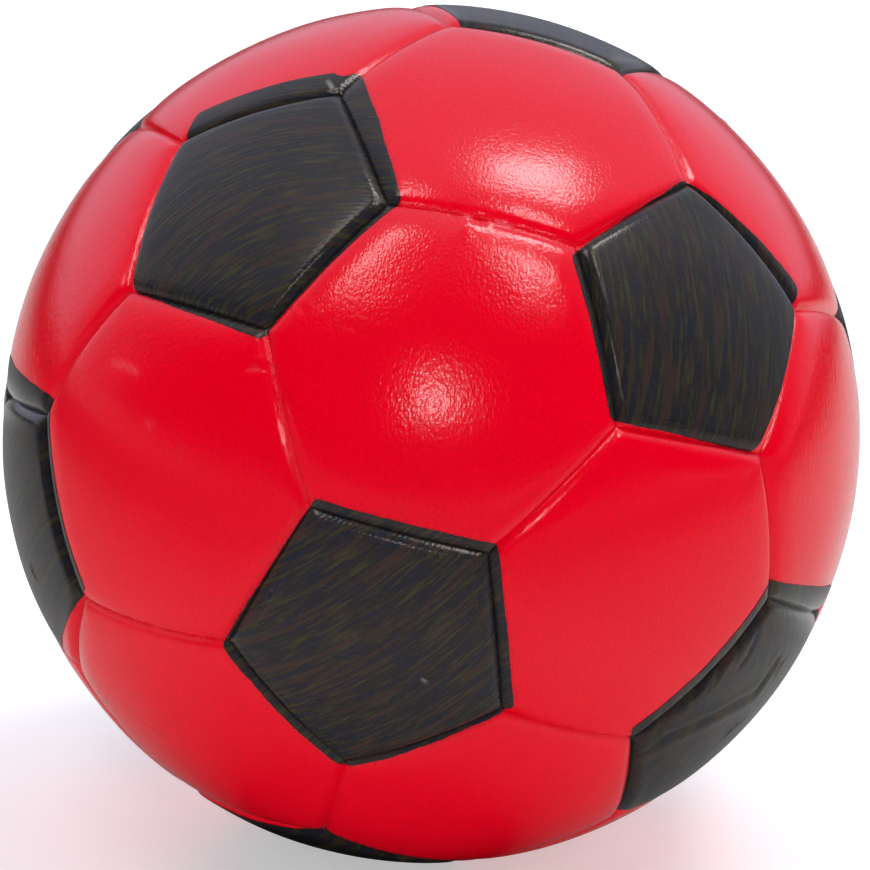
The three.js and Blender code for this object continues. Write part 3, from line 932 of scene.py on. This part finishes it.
def add_walls():
    """Walls that are dark round the camera and light above and behind the ball."""
    bpy.ops.object.select_all(action="DESELECT")
    bpy.ops.mesh.primitive_uv_sphere_add(
        segments=WALL_SEGMENTS, ring_count=WALL_RINGS, radius=WALL_DISTANCE,
    )
    walls = bpy.context.object
    walls.name = "studio_walls"
    walls.visible_camera = False
    material = bpy.data.materials.new("studio walls")
    tree = new_tree(material)
    place = add_node(tree, "TexCoord", output="Object")
    light_side = (CAMERA_UP * WALL_GLOW_RISE - CAMERA_BACK) / WALL_DISTANCE
    facing = add_node(tree, "VectorMath", (place, light_side), output="Value", operation="DOT_PRODUCT")
    facing = add_node(tree, "Clamp", (facing,))
    share = add_node(tree, "Math", (facing, WALL_GLOW_POWER), operation="POWER")
    strength = add_node(tree, "Math", (share, WALL_GLOW), operation="MULTIPLY")
    glow = add_node(tree, "Emission", {"Color": WALL_COLOUR, "Strength": strength})
    add_node(tree, "OutputMaterial", {"Surface": glow})
    walls.data.materials.append(material)


def add_card(low):
    """Painted reflection for the gloss alone: lit paper behind the ball, its painted shadow, dark beyond."""
    bpy.ops.object.select_all(action="DESELECT")
    bpy.ops.mesh.primitive_plane_add(size=CARD_SIZE, location=(0, 0, low + CARD_LIFT))
    card = bpy.context.object
    card.name = "painted_reflection_card"
    card.visible_camera = False
    card.visible_diffuse = False
    card.visible_shadow = False
    material = bpy.data.materials.new("painted reflection of paper and shadow")
    tree = new_tree(material)
    place = add_node(tree, "TexCoord", output="Object")
    paper = add_node(tree, "VectorMath", (place, PAPER_MIDDLE), output="Value", operation="DISTANCE")
    paper = add_node(tree, "MapRange", (paper, PAPER_END, PAPER_FULL, 0.0, PAPER_GLOW))
    # A painted shadow of the ball on the paper
    shadow = add_node(tree, "VectorMath", (place, SHADOW_MIDDLE), output="Value", operation="DISTANCE")
    shadow = add_node(tree, "MapRange", (shadow, SHADOW_FULL, SHADOW_END))
    lit = add_node(tree, "Math", (paper, shadow), operation="MULTIPLY")
    glow = add_node(tree, "Emission", {"Strength": lit})
    add_node(tree, "OutputMaterial", {"Surface": glow})
    card.data.materials.append(material)


def add_world():
    world = bpy.data.worlds.new("studio")
    bpy.context.scene.world = world
    tree = new_tree(world)
    strength = add_node(tree, "MapRange", (seen_rays(tree), 0.0, 1.0, WORLD_LIGHT, WORLD_SEEN))
    background = add_node(tree, "Background", {"Color": (1, 1, 1, 1), "Strength": strength})
    add_node(tree, "OutputWorld", {"Surface": background})


def add_lamp(name, direction, distance, width, height, power, in_gloss):
    data = bpy.data.lights.new(name, "AREA")
    data.shape = "RECTANGLE"
    data.size = width
    data.size_y = height
    data.energy = power
    lamp = bpy.data.objects.new(name, data)
    bpy.context.scene.collection.objects.link(lamp)
    right, up, back = direction
    way = Vector(CAMERA_RIGHT * right + CAMERA_UP * up + CAMERA_BACK * back).normalized()
    lamp.location = way * distance
    lamp.rotation_mode = "QUATERNION"
    lamp.rotation_quaternion = way.to_track_quat("Z", "Y")
    lamp.visible_camera = False
    lamp.visible_glossy = in_gloss
    # Without this a little of an unseen lamp would still reach the gloss
    data.cycles.use_multiple_importance_sampling = in_gloss


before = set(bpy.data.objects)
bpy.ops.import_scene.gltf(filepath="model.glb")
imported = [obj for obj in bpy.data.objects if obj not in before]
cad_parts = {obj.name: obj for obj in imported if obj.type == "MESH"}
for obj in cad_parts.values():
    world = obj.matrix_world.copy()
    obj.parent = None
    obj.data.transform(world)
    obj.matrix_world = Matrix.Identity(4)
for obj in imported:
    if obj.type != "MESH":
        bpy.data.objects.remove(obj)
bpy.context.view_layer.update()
CAMERA_RIGHT, CAMERA_UP, CAMERA_BACK = add_camera()
bpy.ops.object.select_all(action="DESELECT")

skin = panel_blank()
pattern = Pattern(skin)
pour_axis = unit(pattern.pentagons[3] + pattern.pentagons[4] + pattern.pentagons[8])
apply_modifier(skin, "SUBSURF", subdivision_type="SIMPLE", levels=SUBDIVISIONS, render_levels=SUBDIVISIONS)
mould(skin, pattern)

black = spray_paint()
for number in pattern.pentagons:
    coat = spray(skin, pattern, number, black)
    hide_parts(f"black_pentagon_{number:02d}")
    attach(coat, "root")

hollow(skin, pour_axis)
skin.data.materials.clear()
skin.data.materials.append(polyurethane_skin())
smooth(skin)
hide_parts("red_skin")
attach(skin, "root")

foam_radius = BALL_RADIUS - SKIN_WALL - BOND_GAP
core = core_blank("foam_filling", pour_axis, foam_radius, POUR_RADIUS, BALL_RADIUS - POUR_TRIM)
core.data.materials.append(cut_foam())
smooth(core)
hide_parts("foam_core")
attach(core, "root")

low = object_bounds()[0].z
add_floor(low)
add_walls()
add_card(low)
add_world()
for lamp in LAMPS:
    add_lamp(*lamp)
bpy.context.scene.view_settings.view_transform = "Standard"
